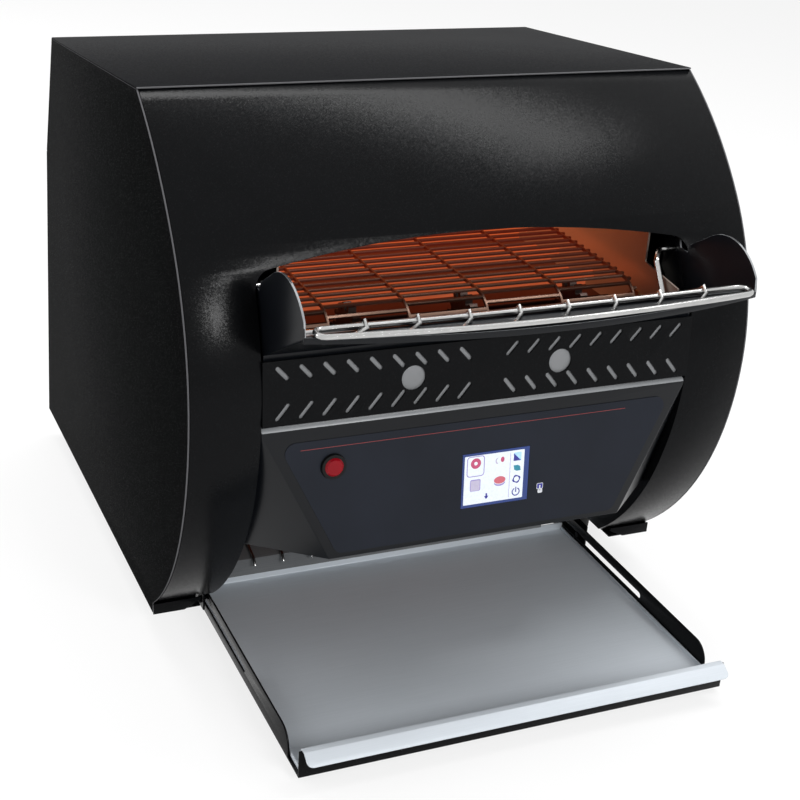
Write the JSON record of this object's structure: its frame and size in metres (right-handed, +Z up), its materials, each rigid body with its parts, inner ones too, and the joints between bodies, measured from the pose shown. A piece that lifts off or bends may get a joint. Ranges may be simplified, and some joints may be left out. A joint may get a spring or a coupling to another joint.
{
  "type": "conveyor toaster",
  "caption": "Countertop conveyor toaster with a curved front, wire belt, heated chamber, swing-up loading rack, touch panel, return chute and sliding toast tray with a lift-up insert.",
  "frame": {"origin": "centre of the overall bounding box in plan, on the counter under the feet", "axes": "+X to the right and +Y to the rear for someone facing the loading mouth, +Z up"},
  "size_m": [0.448, 0.6, 0.432],
  "materials": {
    "black_powder": "black textured powder coat",
    "stainless": "satin stainless sheet",
    "chamber_steel": "heat-tinted stainless sheet",
    "chrome_wire": "bright chrome-plated wire",
    "belt_wire": "heat-tinted stainless wire",
    "plated_steel": "zinc-plated steel",
    "bronze": "sintered bronze",
    "quartz": "quartz heater tube",
    "heater_strip": "metal-sheathed strip heater, glowing orange",
    "ceramic": null,
    "liner_grey": "plain grey sheet",
    "overlay_print": "dark blue-black printed film",
    "screen_glass": "clear cover glass over a lit screen",
    "module_metal": "pressed metal back",
    "bezel_black": "black moulded plastic",
    "lens_red": "translucent red lens",
    "board_green": "green solder mask",
    "motor_paint": "dark grey paint",
    "fan_plastic": "black moulded plastic",
    "terminal_white": "off-white moulded plastic",
    "foot_rubber": "black rubber"
  },
  "bodies": {
    "chassis": {"base_pan": "black_powder", "feet": "foot_rubber", "left_side_panel": "black_powder", "right_side_panel": "black_powder", "top_panel": "black_powder", "front_shroud": "black_powder", "rear_panel": "black_powder", "cover_screws": "plated_steel", "left_chamber_wall": "chamber_steel", "right_chamber_wall": "chamber_steel", "upper_reflector": "chamber_steel", "lower_reflector": "chamber_steel", "upper_heaters": "quartz", "lower_heaters": "heater_strip", "heater_insulators": "ceramic", "conveyor_belt": "belt_wire", "shaft_bushings": "bronze", "drive_motor": "motor_paint", "motor_bracket": "plated_steel", "drive_chain": "plated_steel", "toast_chute": "stainless", "chute_wires": "chrome_wire", "rear_deflector": "chamber_steel", "burn_guard": "black_powder", "guard_liner": "liner_grey", "loading_deck": "black_powder", "control_housing": "black_powder", "control_overlay": "overlay_print", "display_glass": "screen_glass", "display_module": "module_metal", "button_bezel": "bezel_black", "control_board": "board_green", "fan_frame": "fan_plastic", "fan_guard": "chrome_wire", "supply_gland": "bezel_black", "terminal_block": "terminal_white", "tray_hangers": "black_powder", "tray_screws": "black_powder"},
    "front_drive": {"front_shaft": "plated_steel", "front_sprockets": "stainless"},
    "rear_drive": {"rear_shaft": "plated_steel", "rear_sprockets": "stainless", "driven_sprocket": "plated_steel"},
    "motor_output": {"motor_sprocket": "plated_steel"},
    "fan": {"fan_rotor": "fan_plastic"},
    "button": {"power_button": "lens_red"},
    "tray": {"tray_frame": "black_powder"},
    "insert": {"tray_insert": "stainless"},
    "rack": {"loading_rack": "chrome_wire"}
  },
  "joints": [
    {"name": "rear_shaft_spin", "type": "hinge", "parent": "chassis", "child": "rear_drive", "pos_m": [0, 0.13, 0.27], "axis": [1, 0, 0], "continuous": true},
    {"name": "front_shaft_spin", "type": "hinge", "parent": "chassis", "child": "front_drive", "pos_m": [0, -0.137, 0.27], "axis": [1, 0, 0], "continuous": true},
    {"name": "motor_spin", "type": "hinge", "parent": "chassis", "child": "motor_output", "pos_m": [0.16, 0.095, 0.12], "axis": [1, 0, 0], "continuous": true},
    {"name": "fan_spin", "type": "hinge", "parent": "chassis", "child": "fan", "pos_m": [0, 0.28943, 0.10528], "axis": [0, 0.9908, 0.1355], "continuous": true},
    {"name": "button_press", "type": "slide", "parent": "chassis", "child": "button", "axis": [0, 0.9959, -0.0906], "range_m": [0, 0.003], "stiffness_N_per_m": 300, "springref_m": -0.001},
    {"name": "tray_slide", "type": "slide", "parent": "chassis", "child": "tray", "axis": [0, -1, 0], "range_m": [-0.106, 0]},
    {"name": "insert_tilt", "type": "hinge", "parent": "tray", "child": "insert", "pos_m": [0, -0.0337, 0.0086], "axis": [-1, 0, 0], "range_deg": [0, 15]},
    {"name": "rack_swing", "type": "hinge", "parent": "chassis", "child": "rack", "pos_m": [0, -0.15, 0.318], "axis": [1, 0, 0], "range_deg": [-70, 0]}
  ],
  "couplings": [
    {"joint": "front_shaft_spin", "follows": "rear_shaft_spin", "ratio": 1},
    {"joint": "motor_spin", "follows": "rear_shaft_spin", "ratio": 1.6667}
  ]
}
